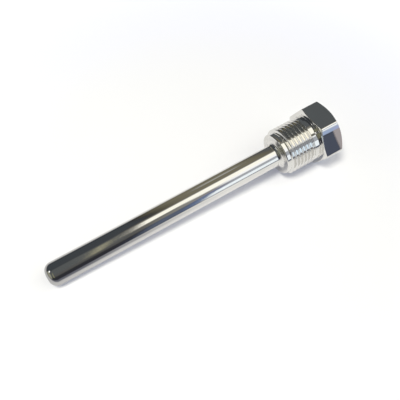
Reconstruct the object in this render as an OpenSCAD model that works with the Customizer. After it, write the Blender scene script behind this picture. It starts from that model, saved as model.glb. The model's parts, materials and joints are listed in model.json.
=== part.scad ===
// Thermowell: a closed pocket that screws into a pipe or a tank and keeps a
// temperature sensor out of the process fluid.
//
// It is turned from one hexagon bar: a slim closed stem, a threaded shank and a
// hexagon head, with a deep bore for the sensor from the head's end. The well is
// drawn upright, tip down, with its origin in the sealing face under the head.
// It is then laid down as it rests on a table: on one flat of the head and the
// tip of the stem. All sizes are in millimetres.

/* [Stem] */
// Diameter of the stem
stem_d = 10; // [9:0.5:12]
// Length of the well from the sealing face to the tip
immersion_l = 125; // [80:1:250]
// Radius of the rounded edge at the tip
tip_r = 3.5; // [2:0.1:4]
// Radius of the fillet where the stem meets the shank
root_r = 2; // [0.5:0.1:2.5]

/* [Threaded shank] */
// Length of the shank from the sealing face to the stem's shoulder
shank_l = 17; // [15:0.5:24]
// Outer diameter of the process thread
thread_d = 20.955; // [20.955:0.001:20.955]
// Turns of the process thread in 25.4 mm
thread_tpi = 14; // [14:1:14]
// Length of the plain collar ahead of the thread
collar_l = 1.4; // [1:0.1:2]
// Least length of the plain land between the thread and the head
land_l = 2.9; // [2:0.1:5]

/* [Head] */
// Width of the hexagon across its flats
head_af = 24; // [24:0.5:30]
// Height of the hexagon head
head_l = 10; // [9:0.5:14]
// Angle of the cone that rounds off the corners at the head's end
end_chamfer = 30; // [15:1:35]
// Angle of the cone that rounds off the corners under the head
seal_chamfer = 15; // [10:1:30]

/* [Inside] */
// Diameter of the bore for the sensor
bore_d = 7; // [6:0.1:7.5]
// Thickness of the closed end at the tip
tip_wall = 5; // [4:0.5:8]
// Diameter of the hole for the instrument's thread
entry_d = 11.8; // [11.445:0.001:11.89]
// Depth of the hole for the instrument's thread
entry_l = 12; // [10:0.5:14]
// Width of the chamfer at the mouth of the entry
entry_chamfer = 0.8; // [0.4:0.1:1]

/* [Hidden] */
$fn = 96;

// Whitworth thread form: ridges with flat crests and roots in place of rounds
pitch = 25.4 / thread_tpi;
thread_angle = 55;
thread_depth = 0.640327 * pitch;
flank_l = thread_depth * tan(thread_angle / 2);
crest_l = pitch / 2 - flank_l;
thread_r = thread_d / 2;
root_thread_r = thread_r - thread_depth;
// The collar clears the thread of the hole that it enters
collar_r = root_thread_r;
// The land is a little slimmer than the thread's crests
land_relief = 0.25;
land_r = thread_r - land_relief;
collar_edge = 0.3;
lead_in = thread_r - collar_r;
thread_start = collar_l + lead_in;
thread_room = shank_l - thread_start - land_relief - land_l;
grooves = floor((thread_room - crest_l) / pitch);
thread_end = thread_start + grooves * pitch + crest_l;

stem_r = stem_d / 2;
stem_l = immersion_l - shank_l;
drill_point_angle = 118;

flat_r = head_af / 2;
corner_r = flat_r / cos(30);
// Flat rings at the head's end and under it, as shares of the width over flats
end_ring_share = 0.95;
seal_ring_share = 0.97;
end_ring_r = end_ring_share * flat_r;
seal_ring_r = seal_ring_share * flat_r;
// How far a profile runs on into its neighbour, so that the two join
overlap = 0.5;

// The well lies on the near end of a flat of the head and on the round of the
// tip. rest_angle is the slope of its axis when both touch the table.
seal_slope_l = (flat_r - seal_ring_r) * tan(seal_chamfer);
rest_span = immersion_l - tip_r + seal_slope_l;
rest_drop = flat_r - (stem_r - tip_r);
rest_reach = sqrt(rest_span * rest_span + rest_drop * rest_drop);
rest_angle = acos(tip_r / rest_reach) - atan2(rest_span, rest_drop);
// Height of the origin above the table, and its place along the length
seat_z = flat_r * cos(rest_angle) - seal_slope_l * sin(rest_angle);
tip_x = (immersion_l - tip_r) * cos(rest_angle) + (stem_r - tip_r) * sin(rest_angle) + tip_r;
end_x = head_l * cos(rest_angle) + end_ring_r * sin(rest_angle);
seat_x = (tip_x - end_x) / 2;

// Places z on the drawing's Z axis and runs the profile round it.
module turned(z) {
    translate([0, 0, z]) rotate_extrude() children();
}

// Half section of the stem, tip at the bottom, with its rounded edge.
module stem_profile() {
    translate([0, tip_r]) square([stem_r, stem_l - tip_r]);
    square([stem_r - tip_r, stem_l]);
    intersection() {
        translate([stem_r - tip_r, tip_r]) circle(tip_r);
        square([stem_r, stem_l]);
    }
}

// Half section of the fillet in the corner between the stem and the shoulder.
module root_fillet_profile() {
    difference() {
        translate([stem_r - overlap, 0]) square([root_r + overlap, root_r]);
        translate([stem_r + root_r, 0]) circle(root_r);
    }
}

// Half section of one groove of the thread, up to the crest of the next ridge.
function groove_profile(start) = [
    [thread_r, start + crest_l],
    [root_thread_r, start + crest_l + flank_l],
    [root_thread_r, start + pitch - flank_l],
    [thread_r, start + pitch]
];

// Half section of the shank: collar, lead-in, thread and plain land. The
// ridges are closed rings at the thread's pitch.
module shank_profile() {
    polygon([
        [0, 0],
        [collar_r - collar_edge, 0],
        [collar_r, collar_edge],
        [collar_r, collar_l],
        [thread_r, thread_start],
        for (i = [0 : grooves - 1]) each groove_profile(thread_start + i * pitch),
        [thread_r, thread_end],
        [land_r, thread_end + land_relief],
        [land_r, shank_l],
        [0, shank_l]
    ]);
}

// Half section of the cone-ended blank that the hexagon is cut from.
module head_blank_profile() {
    blank_r = corner_r + overlap;
    polygon([
        [0, 0],
        [seal_ring_r, 0],
        [blank_r, (blank_r - seal_ring_r) * tan(seal_chamfer)],
        [blank_r, head_l - (blank_r - end_ring_r) * tan(end_chamfer)],
        [end_ring_r, head_l],
        [0, head_l]
    ]);
}

module stem() {
    turned(-immersion_l) stem_profile();
    turned(-shank_l - root_r) root_fillet_profile();
}

module shank() {
    turned(-shank_l) shank_profile();
}

// One flat of the hexagon faces +X, the side that becomes the underside.
module head() {
    intersection() {
        rotate([0, 0, 30]) cylinder(h = head_l, r = corner_r, $fn = 6);
        turned(0) head_blank_profile();
    }
}

// The sensor bore with its drill point, and the instrument entry above it.
module inside() {
    bore_r = bore_d / 2;
    entry_r = entry_d / 2;
    bottom = tip_wall - immersion_l;
    point_l = bore_r / tan(drill_point_angle / 2);
    entry_point_l = (entry_r - bore_r) / tan(drill_point_angle / 2);
    entry_bottom = head_l - entry_l;
    turned(0) polygon([
        [0, bottom],
        [bore_r, bottom + point_l],
        [bore_r, entry_bottom - entry_point_l],
        [entry_r, entry_bottom],
        [entry_r, head_l - entry_chamfer],
        [entry_r + entry_chamfer, head_l],
        [entry_r + entry_chamfer, head_l + overlap],
        [0, head_l + overlap]
    ]);
}

// Lays the upright well down on the table: tip toward -X, head toward +X.
module lay_down() {
    translate([seat_x, 0, seat_z]) rotate([0, 90 - rest_angle, 0]) children();
}

module thermowell() {
    color("silver") lay_down() difference() {
        union() {
            stem();
            shank();
            head();
        }
        inside();
    }
}

thermowell();
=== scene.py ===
import json
import math

import bpy
import numpy as np
from mathutils import Matrix, Vector


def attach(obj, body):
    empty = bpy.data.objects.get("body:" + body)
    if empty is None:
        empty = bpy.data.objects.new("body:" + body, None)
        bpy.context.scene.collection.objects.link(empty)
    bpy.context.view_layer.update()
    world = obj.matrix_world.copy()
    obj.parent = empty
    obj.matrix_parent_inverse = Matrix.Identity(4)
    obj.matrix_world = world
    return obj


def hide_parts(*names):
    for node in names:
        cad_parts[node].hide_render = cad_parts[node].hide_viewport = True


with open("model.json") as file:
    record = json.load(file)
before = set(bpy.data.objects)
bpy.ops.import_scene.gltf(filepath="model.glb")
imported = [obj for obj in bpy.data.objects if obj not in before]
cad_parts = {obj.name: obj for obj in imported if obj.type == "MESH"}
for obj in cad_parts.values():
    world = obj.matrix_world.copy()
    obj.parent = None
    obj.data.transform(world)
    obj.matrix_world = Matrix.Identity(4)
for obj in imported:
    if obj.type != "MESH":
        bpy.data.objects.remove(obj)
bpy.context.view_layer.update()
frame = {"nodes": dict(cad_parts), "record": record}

MM = 0.001

# ---------------------------------------------------------------- the frame's sizes
# Radii and stations are in mm, in the well's own frame: its axis is Z, with 0 in the sealing
# face, the tip below it and the head above.

MOUNTS = {m["name"]: m for m in frame["record"]["mounts"]}
NODE = frame["nodes"]["thermowell"]


def axial_frame():
    """The well's own frame: origin in the sealing face, +Z to the head, +X at the flat below."""
    up_axis = Vector(MOUNTS["sensor_bore"]["axis"]).normalized()
    on_axis = Vector(MOUNTS["sensor_bore"]["pos_m"])
    seal = Vector(MOUNTS["seal_face"]["pos_m"])
    seat = on_axis + up_axis * (seal - on_axis).dot(up_axis)
    side = Vector((0, 1, 0))
    below = side.cross(up_axis)
    turn = Matrix((below, side, up_axis)).transposed().to_4x4()
    return Matrix.Translation(seat) @ turn


PLACE = axial_frame()


def measure_node():
    """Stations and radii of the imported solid's vertices."""
    own = PLACE.inverted()
    points = np.array([own @ v.co for v in NODE.data.vertices]) / MM
    return points[:, 2], np.hypot(points[:, 0], points[:, 1])


Z_CAD, R_CAD = measure_node()


def widest(z_from, z_to):
    """Largest radius of the solid between two stations."""
    return float(R_CAD[(Z_CAD > z_from) & (Z_CAD < z_to)].max())


def station(mount):
    """Station of a mount's middle."""
    return (PLACE.inverted() @ Vector(MOUNTS[mount]["pos_m"])).z / MM


# A vertex this near a face's station belongs to the face
NEAR = 0.01
# The stretch next to the tip that shows the stem's radius
STEM_SAMPLE_L = 10
# The shank starts where the solid is this many times as wide as the stem
SHANK_STEP = 1.7

TIP_Z = float(Z_CAD.min())
END_Z = float(Z_CAD.max())
STEM_R = widest(TIP_Z, TIP_Z + STEM_SAMPLE_L)
SHANK_Z = float(Z_CAD[R_CAD > SHANK_STEP * STEM_R].min())
LAND_R = float(R_CAD[abs(Z_CAD) < NEAR].min())
SEAL_RING_R = widest(-NEAR, NEAR)
END_RING_R = widest(END_Z - NEAR, END_Z + NEAR)
CORNER_R = float(R_CAD.max())
FLAT_R = CORNER_R * math.cos(math.pi / 6)
THREAD_R = MOUNTS["process_thread"]["dims"]["r_mm"]
THREAD_L = MOUNTS["process_thread"]["dims"]["length_mm"]
THREAD_MID = station("process_thread")
BORE_R = MOUNTS["sensor_bore"]["dims"]["r_mm"]
BORE_L = MOUNTS["sensor_bore"]["dims"]["length_mm"]
BORE_MID = station("sensor_bore")
ENTRY_R = MOUNTS["instrument_entry"]["dims"]["r_mm"]
ENTRY_L = MOUNTS["instrument_entry"]["dims"]["length_mm"]
ENTRY_MID = station("instrument_entry")
ENTRY_TOP = ENTRY_MID + ENTRY_L / 2
MOUTH_R = ENTRY_R + (END_Z - ENTRY_TOP)

# Blends and broken edges, in mm. EDGE is how far an edge is set back on both of its sides.
TIP_ROUND = 3.5
ROOT_ROUND = 2.0
LAND_ROUND = 0.15
CORNER_ROUND = 1.2
COLLAR_EDGE = 0.3
EDGE = 0.12
SEAL_CONE = math.radians(15)
END_CONE = math.radians(30)
DRILL_HALF_ANGLE = math.radians(59)

# The process thread, G 1/2, in mm. Its helix starts on a steep cone, a gap after the collar,
# and runs on past the solid's last ridge. THREAD_TURN is in turns about the axis.
THREAD_PITCH = 25.4 / 14
THREAD_DEPTH = 0.640327 * THREAD_PITCH
CREST = THREAD_PITCH / 6
THREAD_TURN = -0.04
LEAD_GAP = 0.6
LEAD_SLOPE = 2.4
RUN_ON = 0.6
ROWS_PER_PITCH = 32

# The instrument thread, G 1/4, in mm
ENTRY_PITCH = 25.4 / 19
ENTRY_ROOT_R = 6.5785
ENTRY_CREST = ENTRY_PITCH / 6
ENTRY_ROWS_PER_PITCH = 12

# Where the collar ends and the land begins, each a 45 degree chamfer away from the thread
COLLAR_R = THREAD_R - THREAD_DEPTH
THREAD_LOW = THREAD_MID - THREAD_L / 2
THREAD_HIGH = THREAD_MID + THREAD_L / 2
COLLAR_Z = THREAD_LOW - (THREAD_R - COLLAR_R)
LAND_Z = THREAD_HIGH + (THREAD_R - LAND_R)

# ---------------------------------------------------------------- the turned surface

# Column angles: even over the flats, and close together where the hexagon's corners are rounded
SECTOR = list(range(-27, 28, 3)) + [27.5, 28.1, 28.7, 29.3, 30.0, 30.7, 31.3, 31.9, 32.5]
ANGLES = np.radians(sorted(60 * k + a for k in range(6) for a in SECTOR))
COLUMNS = len(ANGLES)
ONE = np.ones(COLUMNS)

# The end caps span these shares of the tip's flat and of the bore, where the mesh closes
TIP_CAP = 0.6
DRILL_CAP = 0.03

# How far a ridge's straight flanks are eased into its crest and root, from 0 to 1
FLANK_EASE = 0.12


def ridge(phase, pitch, flat, depth):
    """Depth below the crest of a thread with flat crests and roots and softly broken edges."""
    x = np.abs((phase + 0.5) % 1.0 - 0.5) * pitch
    share = np.clip((x - flat / 2) / (pitch / 2 - flat), 0, 1)
    eased = share * share * (3 - 2 * share)
    return depth * ((1 - FLANK_EASE) * share + FLANK_EASE * eased)


def toward(start, goal, setback):
    """The point a setback away from start toward goal, at most 0.45 of the way there."""
    distance = np.hypot(goal[0] - start[0], goal[1] - start[1])
    share = np.minimum(setback, 0.45 * distance) / np.maximum(distance, 1e-9)
    return start[0] + (goal[0] - start[0]) * share, start[1] + (goal[1] - start[1]) * share


def bezier_corner(before, corner, after, setback, steps=4):
    """Points that round a corner of the section off, a short way back along both sides."""
    first = toward(corner, before, setback)
    last = toward(corner, after, setback)
    points = []
    for i in range(steps + 1):
        t = i / steps
        points.append(tuple((1 - t) ** 2 * first[k] + 2 * t * (1 - t) * corner[k] + t ** 2 * last[k]
                            for k in (0, 1)))
    return points


def arc(centre_z, centre_r, radius, start, stop, steps):
    """Points of a round stretch of the section, angles in degrees from +Z toward +R."""
    angles = np.radians(np.linspace(start, stop, steps + 1))
    return [(centre_z + radius * math.cos(a), centre_r + radius * math.sin(a)) for a in angles]


def full(points):
    """Section points as rows: one station and one radius for every column."""
    return [(z * ONE, r * ONE) for z, r in points]


def stem_rows():
    """The closed tip, the plain stem and the fillet into the shank."""
    tip = arc(TIP_Z + TIP_ROUND, STEM_R - TIP_ROUND, TIP_ROUND, 180, 90, steps=16)
    root = arc(SHANK_Z - ROOT_ROUND, STEM_R + ROOT_ROUND, ROOT_ROUND, -90, 0, steps=10)
    return full([(TIP_Z, TIP_CAP * (STEM_R - TIP_ROUND))] + tip + root)


def shank_radius(z, angle):
    """Radius of the threaded stretch: a helix that starts on a cone and fades out at the land."""
    turns = (z - THREAD_LOW) / THREAD_PITCH - angle / math.tau + THREAD_TURN
    fade = np.clip((THREAD_HIGH + RUN_ON - z) / (0.5 * THREAD_PITCH), 0, 1)
    helix = THREAD_R - fade * ridge(turns, THREAD_PITCH, CREST, THREAD_R - COLLAR_R)
    lead_in = COLLAR_R + np.maximum(z - COLLAR_Z - LEAD_GAP, 0) * LEAD_SLOPE
    land_chamfer = LAND_R + (LAND_Z - z)
    return np.minimum.reduce([helix, lead_in, land_chamfer])


def shank_rows():
    """The shoulder, the collar and the thread, up to the land."""
    root = (SHANK_Z, STEM_R + ROOT_ROUND)
    shoulder = (SHANK_Z, COLLAR_R - COLLAR_EDGE)
    rim = (SHANK_Z + COLLAR_EDGE, COLLAR_R)
    collar_end = (COLLAR_Z, COLLAR_R)
    rows = full(bezier_corner(root, shoulder, rim, EDGE))
    rows += full(bezier_corner(shoulder, rim, collar_end, EDGE))
    rows += full([(COLLAR_Z - EDGE, COLLAR_R), collar_end])
    steps = round((LAND_Z - COLLAR_Z) / THREAD_PITCH * ROWS_PER_PITCH)
    for z in np.linspace(COLLAR_Z, LAND_Z, steps + 1)[1:]:
        rows.append((z * ONE, shank_radius(z * ONE, ANGLES)))
    return rows


def hexagon_radius():
    """Radius of the hexagon's side at every column, with its corners rounded."""
    offset = np.abs((ANGLES + math.pi / 6) % (math.pi / 3) - math.pi / 6)
    flat_end = math.atan((FLAT_R - CORNER_ROUND) * math.tan(math.pi / 6) / FLAT_R)
    centre = (FLAT_R - CORNER_ROUND) / math.cos(math.pi / 6)
    along = centre * np.cos(math.pi / 6 - offset)
    across = centre * np.sin(math.pi / 6 - offset)
    rounded = along + np.sqrt(np.maximum(CORNER_ROUND ** 2 - across ** 2, 0))
    return np.where(offset < flat_end, FLAT_R / np.cos(offset), rounded)


def head_rows():
    """The land, the sealing face, the hexagon between its two cones and the end's ring."""
    side = hexagon_radius()
    low = ((side - SEAL_RING_R) * math.tan(SEAL_CONE), side)
    high = (END_Z - (side - END_RING_R) * math.tan(END_CONE), side)
    land = (0 * ONE, LAND_R * ONE)
    seal = (0 * ONE, SEAL_RING_R * ONE)
    end = (END_Z * ONE, END_RING_R * ONE)
    mouth = (END_Z * ONE, MOUTH_R * ONE)
    rows = full([(LAND_Z + EDGE, LAND_R)])
    rows += full(arc(-LAND_ROUND, LAND_R + LAND_ROUND, LAND_ROUND, -90, 0, steps=4))
    rows += full([(0, LAND_R + LAND_ROUND + EDGE)])
    rows += bezier_corner(land, seal, low, EDGE)
    rows += bezier_corner(seal, low, high, 2 * EDGE)
    rows += bezier_corner(low, high, end, EDGE)
    rows += bezier_corner(high, end, mouth, EDGE)
    rows += full([(END_Z, END_RING_R - 2 * EDGE), (END_Z, MOUTH_R + EDGE)])
    return rows


def entry_rows():
    """The mouth, the instrument's thread and the sensor bore, down to the drill point."""
    bottom = ENTRY_MID - ENTRY_L / 2
    bore_top = BORE_MID + BORE_L / 2
    bore_bottom = BORE_MID - BORE_L / 2
    rows = full([(END_Z, MOUTH_R)])
    steps = round((ENTRY_TOP - bottom) / ENTRY_PITCH * ENTRY_ROWS_PER_PITCH)
    for z in np.linspace(END_Z, bottom + ENTRY_PITCH, steps + 1)[1:]:
        turns = (END_Z - z) / ENTRY_PITCH + ANGLES / math.tau
        fade = np.clip((z - bottom) / ENTRY_PITCH - 1, 0, 1)
        helix = ENTRY_R + fade * ridge(turns, ENTRY_PITCH, ENTRY_CREST, ENTRY_ROOT_R - ENTRY_R)
        mouth_chamfer = MOUTH_R - (END_Z - z)
        rows.append((z * ONE, np.maximum(helix, mouth_chamfer)))
    rows += full([(bottom, ENTRY_R), (bore_top, BORE_R), (bore_bottom, BORE_R)])
    point = bore_bottom - BORE_R / math.tan(DRILL_HALF_ANGLE)
    rows += full([(bore_bottom + (point - bore_bottom) * (1 - DRILL_CAP), DRILL_CAP * BORE_R)])
    return rows


def skin(name, rows, place):
    """One closed mesh from rows of points, with its ends closed and weighted normals."""
    z = np.array([r[0] for r in rows])
    radius = np.array([r[1] for r in rows])
    points = np.stack([radius * np.cos(ANGLES), radius * np.sin(ANGLES), z], -1)
    count = len(rows)
    index = np.arange(count * COLUMNS).reshape(count, COLUMNS)
    beside = np.roll(index, -1, axis=1)
    quads = np.stack([index[:-1], beside[:-1], beside[1:], index[1:]], -1).reshape(-1, 4)
    faces = [tuple(q) for q in quads.tolist()]
    faces.append(tuple(index[0][::-1].tolist()))
    faces.append(tuple(index[-1].tolist()))
    mesh = bpy.data.meshes.new(name)
    mesh.from_pydata((points.reshape(-1, 3) * MM).tolist(), [], faces)
    mesh.transform(place)
    mesh.update()
    mesh.shade_smooth()
    piece = bpy.data.objects.new(name, mesh)
    bpy.context.scene.collection.objects.link(piece)
    weighted = piece.modifiers.new("weighted normals", "WEIGHTED_NORMAL")
    weighted.keep_sharp = False
    weighted.weight = 100
    return piece


# ---------------------------------------------------------------- shader nodes

WHITE = (1, 1, 1)
BLACK = (0, 0, 0)


def new_material(name):
    """An empty node material, with its nodes and links."""
    material = bpy.data.materials.new(name)
    material.use_nodes = True
    nodes = material.node_tree.nodes
    nodes.clear()
    return material, nodes, material.node_tree.links


def link_math(nodes, links, operation, first, second=None):
    """A Math node whose inputs are sockets or numbers; returns its output."""
    node = nodes.new("ShaderNodeMath")
    node.operation = operation
    for socket, value in zip(node.inputs, (first, second)):
        if value is None:
            continue
        if isinstance(value, (int, float)):
            socket.default_value = value
        else:
            links.new(value, socket)
    return node.outputs[0]


def fitted(nodes, links, value, low, high, to_low=0.0, to_high=1.0, smooth=False):
    """Maps a value's low to high range to another range."""
    node = nodes.new("ShaderNodeMapRange")
    if smooth:
        node.interpolation_type = "SMOOTHSTEP"
    ends = {"From Min": low, "From Max": high, "To Min": to_low, "To Max": to_high}
    for name, number in ends.items():
        node.inputs[name].default_value = number
    links.new(value, node.inputs["Value"])
    return node.outputs[0]


def mixed(nodes, links, share, first, second):
    """A mix of two colours, each a colour or a socket; share runs from 0 to 1."""
    node = nodes.new("ShaderNodeMixRGB")
    links.new(share, node.inputs["Fac"])
    for name, colour in (("Color1", first), ("Color2", second)):
        if isinstance(colour, tuple):
            node.inputs[name].default_value = (*colour, 1)
        else:
            links.new(colour, node.inputs[name])
    return node.outputs[0]


def split_vector(nodes, links, vector):
    """A vector's three parts, by name: X, Y and Z."""
    split = nodes.new("ShaderNodeSeparateXYZ")
    links.new(vector, split.inputs[0])
    return split.outputs


# ---------------------------------------------------------------- the steel

def along_axis(nodes, links):
    """Texture coordinates in the well's own frame: Z runs along its axis."""
    coords = nodes.new("ShaderNodeTexCoord")
    turn = nodes.new("ShaderNodeMapping")
    turn.vector_type = "TEXTURE"
    turn.inputs["Location"].default_value = PLACE.translation
    turn.inputs["Rotation"].default_value = PLACE.to_euler()
    links.new(coords.outputs["Object"], turn.inputs["Vector"])
    return turn.outputs[0]


def stretched_noise(nodes, links, vector, scale, detail, stretch=(1, 1, 1)):
    """Noise whose grain is finer along the axes that stretch enlarges."""
    size = nodes.new("ShaderNodeMapping")
    size.inputs["Scale"].default_value = stretch
    noise = nodes.new("ShaderNodeTexNoise")
    noise.inputs["Scale"].default_value = scale
    noise.inputs["Detail"].default_value = detail
    links.new(vector, size.inputs["Vector"])
    links.new(size.outputs[0], noise.inputs["Vector"])
    return noise.outputs["Fac"]


def toward_head(nodes, links, z, on_shank, on_head):
    """A value that changes from the shank's to the head's just before the sealing face."""
    return fitted(nodes, links, z, -0.2 * MM, 0, on_shank, on_head)


def steel_roughness(nodes, links, z, smudge):
    """Polished with smudges, sleeker on the head, and duller where the shoulder was faced."""
    smudged = fitted(nodes, links, smudge, 0.3, 0.7, 0.04, 0.08)
    polish = link_math(nodes, links, "MULTIPLY", smudged, toward_head(nodes, links, z, 1, 0.15))
    rise = fitted(nodes, links, z, (SHANK_Z - 2) * MM, (SHANK_Z - 0.8) * MM)
    fall = fitted(nodes, links, z, SHANK_Z * MM, (SHANK_Z + 0.2) * MM, 1, 0)
    faced = link_math(nodes, links, "MULTIPLY", rise, fall)
    return link_math(nodes, links, "ADD", link_math(nodes, links, "MULTIPLY", faced, 0.2), polish)


def turning_marks(nodes, links, own, z):
    """Faint rings round the axis, as a shader normal. The head has almost none."""
    rings = stretched_noise(nodes, links, own, 1, 2, (30, 30, 9000))
    bump = nodes.new("ShaderNodeBump")
    bump.inputs["Distance"].default_value = 0.02 * MM
    links.new(toward_head(nodes, links, z, 0.1, 0.012), bump.inputs["Strength"])
    links.new(rings, bump.inputs["Height"])
    return bump.outputs[0]


def stainless_steel():
    """Bright turned steel: faint rings round the axis, soft smudges in the polish."""
    material, nodes, links = new_material("polished stainless steel")
    out = nodes.new("ShaderNodeOutputMaterial")
    shader = nodes.new("ShaderNodeBsdfPrincipled")
    shader.inputs["Metallic"].default_value = 1
    own = along_axis(nodes, links)
    z = split_vector(nodes, links, own)["Z"]
    smudge = stretched_noise(nodes, links, own, 90, 4)
    tone = mixed(nodes, links, smudge, (0.69, 0.68, 0.66), (0.76, 0.75, 0.73))
    links.new(tone, shader.inputs["Base Color"])
    links.new(steel_roughness(nodes, links, z, smudge), shader.inputs["Roughness"])
    links.new(turning_marks(nodes, links, own, z), shader.inputs["Normal"])
    links.new(shader.outputs[0], out.inputs["Surface"])
    return material


# ---------------------------------------------------------------- the sheet it lies on

SHEET_RADIUS = 0.27
# The sheet's colour fades to a painted shade, and its glow takes over, between these distances from the
# middle
SHEET_NEAR = 0.07
SHEET_FAR = 0.25


def away_from_part(nodes, links, point):
    """0 around the part, rising to 1 toward the sheet's edge."""
    length = nodes.new("ShaderNodeVectorMath")
    length.operation = "LENGTH"
    links.new(point, length.inputs[0])
    return fitted(nodes, links, length.outputs["Value"], SHEET_NEAR, SHEET_FAR, smooth=True)


def mirrored_shade(nodes, links, point):
    """How much darker the metal sees the sheet, as painted shade: about half at the tip, nearly black in
    front.
    """
    place = split_vector(nodes, links, point)
    left = fitted(nodes, links, place["X"], -0.08, 0.01, 0.50, 0)
    front_x = fitted(nodes, links, place["X"], -0.065, 0.03, 0.95, 0, smooth=True)
    front_y = fitted(nodes, links, place["Y"], -0.026, -0.003, 1, 0, smooth=True)
    in_front = link_math(nodes, links, "MULTIPLY", front_x, front_y)
    return link_math(nodes, links, "MAXIMUM", left, in_front)


def white_sheet():
    """White near the part. Farther out its colour darkens to a painted shade that the metal mirrors, and
    its glow keeps it white to the camera.
    """
    material, nodes, links = new_material("white sheet")
    out = nodes.new("ShaderNodeOutputMaterial")
    coords = nodes.new("ShaderNodeTexCoord")
    point = coords.outputs["Object"]
    path = nodes.new("ShaderNodeLightPath")
    mirrored = link_math(nodes, links, "MAXIMUM", path.outputs["Is Glossy Ray"],
                         path.outputs["Is Transmission Ray"])
    away = away_from_part(nodes, links, point)

    # Painted shade: away from the part the sheet's colour darkens to dark blue, which the metal mirrors;
    # the glow keeps it white to the camera
    tone = mixed(nodes, links, away, (0.80, 0.80, 0.79), (0.04, 0.05, 0.09))
    # Painted shade on the sheet, seen only in the metal's reflection, toward the tip and in front of the
    # part
    shade = link_math(nodes, links, "MULTIPLY", mirrored, mirrored_shade(nodes, links, point))
    diffuse = nodes.new("ShaderNodeBsdfDiffuse")
    links.new(mixed(nodes, links, shade, tone, BLACK), diffuse.inputs["Color"])

    to_metal = link_math(nodes, links, "MULTIPLY", mirrored, fitted(nodes, links, away, 0, 1, 0.17, 0))
    to_camera = link_math(nodes, links, "MULTIPLY", path.outputs["Is Camera Ray"],
                          fitted(nodes, links, away, 0, 0.8, 0.20, 1))
    glow = nodes.new("ShaderNodeEmission")
    links.new(mixed(nodes, links, away, (0.72, 0.76, 1.0), WHITE), glow.inputs["Color"])
    links.new(link_math(nodes, links, "ADD", to_metal, to_camera), glow.inputs["Strength"])

    add = nodes.new("ShaderNodeAddShader")
    links.new(diffuse.outputs[0], add.inputs[0])
    links.new(glow.outputs[0], add.inputs[1])
    links.new(add.outputs[0], out.inputs["Surface"])
    return material


def white_floor():
    """The round sheet under the part."""
    bpy.ops.mesh.primitive_circle_add(vertices=96, radius=SHEET_RADIUS, fill_type="NGON",
                                      location=(0, 0, 0))
    floor = bpy.context.object
    floor.name = "floor"
    floor.data.materials.append(white_sheet())


# ---------------------------------------------------------------- the room, the lamp, the camera

# Bright and dim areas of the room that the metal mirrors. Each spans a range of height, in
# degrees from the horizon at -Y over the top to the horizon at +Y, and a range across, in
# degrees toward +X. Both ranges have soft edges, and where areas overlap the brightest shows.
ROOM_AREAS = [
    # name, height from, to, softness, across from, to, softness, colour, strength
    ("ceiling light", 66, 95, 3, 2.5, 85, 0.7, (1.0, 0.985, 0.88), 1.35),
    ("ceiling light's middle", 57, 80, 4, 9, 85, 2, (1.0, 0.99, 0.93), 1.3),
    ("ceiling light's end", 46.5, 70, 4, 13.5, 85, 1.5, (0.96, 0.98, 1.0), 1.3),
    ("ceiling light's far end", 52, 95, 4, 34, 66, 4, (1.0, 0.97, 0.84), 1.9),
    ("ceiling glow", 56, 104, 12, 1, 85, 3, (1.0, 0.97, 0.86), 0.38),
    ("window", 0.5, 27, 0.15, 13.5, 85, 0.6, (0.88, 0.95, 1.0), 1.3),
    ("window's far end", 0.5, 27, 0.15, 34, 66, 4, (0.70, 0.85, 1.0), 1.8),
    ("beside the window", 26, 46, 4, 14.5, 85, 1.5, (0.86, 0.91, 1.0), 0.58),
    ("window glow", 2, 44, 1, 10, 85, 2.5, (0.44, 0.60, 1.0), 0.40),
    ("window sill", 0.05, 1.4, 0.07, 14, 85, 1, (0.54, 0.68, 1.0), 0.80),
    ("wide glow", 0, 44, 2, 4.5, 85, 2.5, (0.58, 0.70, 1.0), 0.22),
    ("far table", -90, 0.1, 0.3, -90, 90, 1, (0.60, 0.70, 1.0), 0.15),
    ("sheet's edge", -20, 0.7, 0.2, 30.05, 64, 0.12, (1.0, 0.92, 0.95), 0.47),
    ("lamp by the tip", 46, 92, 8, -3.2, -1.2, 0.8, (1.0, 0.97, 0.70), 0.45),
    ("left end", 3, 177, 3, -90, -58, 4, (1.0, 1.0, 0.78), 0.36),
    ("low wall", 28, 60, 13, -60, 6, 3, (1.0, 1.0, 1.0), 0.115),
    ("between the lights", 34, 62, 8, 4, 85, 6, (1.0, 1.0, 0.92), 0.32),
    ("left room", 25, 80, 6, -38, -27, 2, (1.0, 1.0, 0.66), 0.30),
    ("left wall", 42, 104, 10, -60, 6, 3, (0.90, 0.97, 1.0), 0.130),
    ("back room", 96, 184, 6, -60, 6, 4, (0.78, 0.88, 1.0), 0.08),
    ("far wall", 96, 180, 8, 6, 21, 4, (1.0, 0.93, 0.67), 0.225),
    ("far shelf", 132, 148, 3, 11, 17, 1.5, (1.0, 1.0, 0.92), 0.46),
    ("far corner", 96, 184, 6, 18, 64, 4, (0.86, 0.95, 1.0), 0.13),
    ("small lamp", 112, 124, 3, -58, -44, 3, (1.0, 1.0, 1.0), 3.0),
]
DARK_ROOM = (0.036, 0.037, 0.046)

CAMERA_PLACE = Vector((-58.07, -98.86, 184.29)) * MM
CAMERA_AIM = Vector((0.58, -1.58, 8.0)) * MM
CAMERA_LENS = 45
CAMERA_SENSOR = 36


def soft_band(nodes, links, value, start, stop, softness):
    """1 between start and stop. It falls to 0 across each of them, over twice the softness."""
    rise = fitted(nodes, links, value, start - softness, start + softness, smooth=True)
    fall = fitted(nodes, links, value, stop - softness, stop + softness, 1, 0, smooth=True)
    return link_math(nodes, links, "MULTIPLY", rise, fall)


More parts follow.
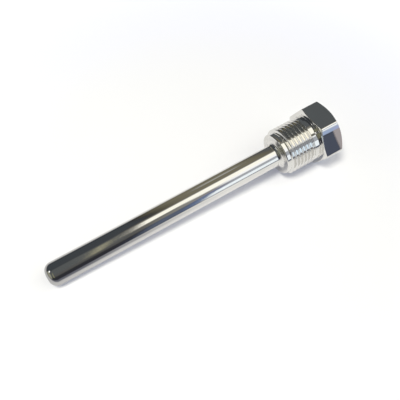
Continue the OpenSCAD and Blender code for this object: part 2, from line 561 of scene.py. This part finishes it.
def room_light(nodes, links, height, across):
    """The room's colour in one direction: its darkness, or the brightest area there."""
    total = None
    for name, low, high, soft_height, left, right, soft_across, colour, strength in ROOM_AREAS:
        in_height = soft_band(nodes, links, height, low, high, soft_height)
        in_across = soft_band(nodes, links, across, left, right, soft_across)
        area = nodes.new("ShaderNodeVectorMath")
        area.operation = "SCALE"
        area.label = name
        area.inputs[0].default_value = [c * strength for c in colour]
        links.new(link_math(nodes, links, "MULTIPLY", in_height, in_across), area.inputs["Scale"])
        joined = nodes.new("ShaderNodeVectorMath")
        joined.operation = "MAXIMUM"
        links.new(area.outputs[0], joined.inputs[0])
        if total is None:
            joined.inputs[1].default_value = DARK_ROOM
        else:
            links.new(total, joined.inputs[1])
        total = joined.outputs[0]
    return total


def room():
    """The backdrop is white to the camera, and everything else sees the room."""
    world = bpy.data.worlds.new("room")
    bpy.context.scene.world = world
    world.use_nodes = True
    nodes, links = world.node_tree.nodes, world.node_tree.links
    nodes.clear()
    out = nodes.new("ShaderNodeOutputWorld")
    background = nodes.new("ShaderNodeBackground")
    coords = nodes.new("ShaderNodeTexCoord")
    x, y, z = split_vector(nodes, links, coords.outputs["Generated"])
    height = link_math(nodes, links, "ARCTAN2", z, link_math(nodes, links, "MULTIPLY", y, -1.0))
    height = link_math(nodes, links, "DEGREES", height)
    across = link_math(nodes, links, "DEGREES", link_math(nodes, links, "ARCSINE", x))
    path = nodes.new("ShaderNodeLightPath")
    light = room_light(nodes, links, height, across)
    seen = mixed(nodes, links, path.outputs["Is Camera Ray"], light, WHITE)
    links.new(seen, background.inputs["Color"])
    links.new(background.outputs[0], out.inputs["Surface"])


def soft_lamp(name, direction, distance, size, colour, power):
    """A soft lamp for the sheet and the shadow. The metal mirrors the room instead."""
    data = bpy.data.lights.new(name, "AREA")
    data.shape = "DISK"
    data.size = size
    data.color = colour
    data.energy = power
    lamp = bpy.data.objects.new(name, data)
    spot = Vector(direction).normalized() * distance
    lamp.location = spot
    lamp.rotation_euler = (-spot).to_track_quat("-Z", "Y").to_euler()
    lamp.visible_glossy = False
    bpy.context.scene.collection.objects.link(lamp)


def camera():
    """Looks down at the part from in front of the tip and high above it."""
    data = bpy.data.cameras.new("camera")
    data.sensor_width = CAMERA_SENSOR
    data.lens = CAMERA_LENS
    view = bpy.data.objects.new("camera", data)
    view.location = CAMERA_PLACE
    view.rotation_euler = (CAMERA_AIM - CAMERA_PLACE).to_track_quat("-Z", "Y").to_euler()
    bpy.context.scene.collection.objects.link(view)
    bpy.context.scene.camera = view


# ---------------------------------------------------------------- assembly

well = skin("thermowell_turned", stem_rows() + shank_rows() + head_rows() + entry_rows(), PLACE)
well.data.materials.append(stainless_steel())
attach(well, "root")
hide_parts("thermowell")

white_floor()
room()
soft_lamp("key", direction=(-0.32, -0.14, 1.0), distance=0.80, size=0.26,
          colour=(1.0, 0.975, 0.90), power=4.85)
camera()

bpy.context.scene.view_settings.view_transform = "Standard"
